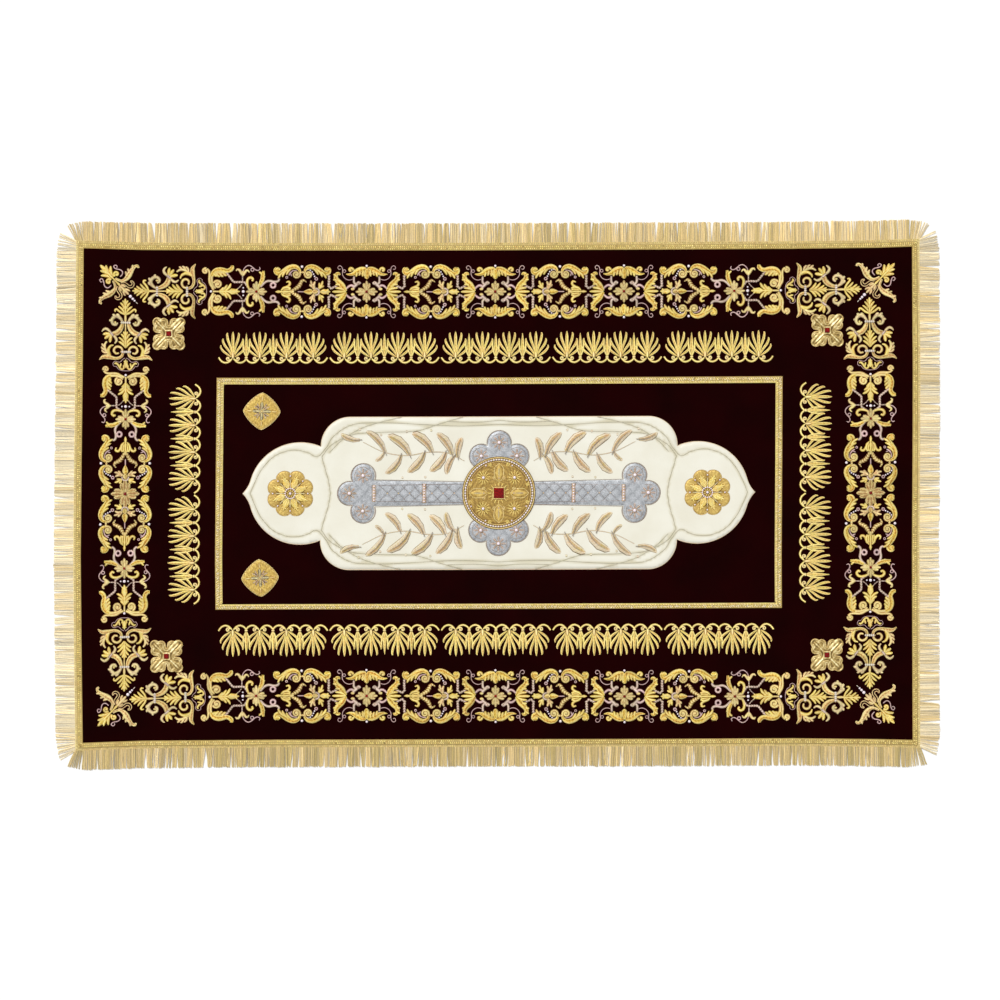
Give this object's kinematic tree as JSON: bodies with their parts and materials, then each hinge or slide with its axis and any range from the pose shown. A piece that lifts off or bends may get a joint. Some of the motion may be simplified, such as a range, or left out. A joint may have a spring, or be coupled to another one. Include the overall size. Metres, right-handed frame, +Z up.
{
  "type": "epitaphios",
  "caption": "Flat rectangular church cloth of velvet with fringed edges, a scrollwork border, a braid frame and a sewn-on centre with a budded cross.",
  "frame": {"origin": "on the underside, under the middle of the whole cloth with its fringe", "axes": "+X along the length, to the right as the face is read; +Y towards the far long edge; +Z up, out of the embroidered face"},
  "size_m": [1.5914, 0.9886, 0.0123],
  "materials": {
    "velvet": "short pile velvet, deep burgundy",
    "gold_fringe": "twisted pale gold cord strands",
    "gold_braid": "woven metal-thread braid, satin",
    "gold_brocade": "couched gold thread over padding",
    "silver_cloth": "woven silver thread cloth",
    "cream_satin": "satin, soft sheen",
    "gold_thread": "satin-stitched gold thread",
    "silver_thread": "satin-stitched silver thread",
    "tan_thread": "shaded silk thread",
    "pearl": "pearl beads",
    "red_stone": "cut and polished"
  },
  "bodies": {
    "root": {"velvet_cloth": "velvet", "fringe_far": "gold_fringe", "edge_braid_far": "gold_braid", "frame_braid_far": "gold_braid", "fringe_right": "gold_fringe", "edge_braid_right": "gold_braid", "frame_braid_right": "gold_braid", "fringe_near": "gold_fringe", "edge_braid_near": "gold_braid", "frame_braid_near": "gold_braid", "fringe_left": "gold_fringe", "edge_braid_left": "gold_braid", "frame_braid_left": "gold_braid", "quatrefoil_far_left": "gold_brocade", "corner_stone_far_left": "red_stone", "quatrefoil_far_right": "gold_brocade", "corner_stone_far_right": "red_stone", "quatrefoil_near_left": "gold_brocade", "corner_stone_near_left": "red_stone", "quatrefoil_near_right": "gold_brocade", "corner_stone_near_right": "red_stone", "lozenge_far": "gold_brocade", "lozenge_near": "gold_brocade", "centre_satin": "cream_satin", "centre_cross": "silver_cloth", "centre_medallion": "gold_brocade", "centre_stone": "red_stone", "rosette_left": "gold_brocade", "rosette_right": "gold_brocade"}
  },
  "joints": []
}
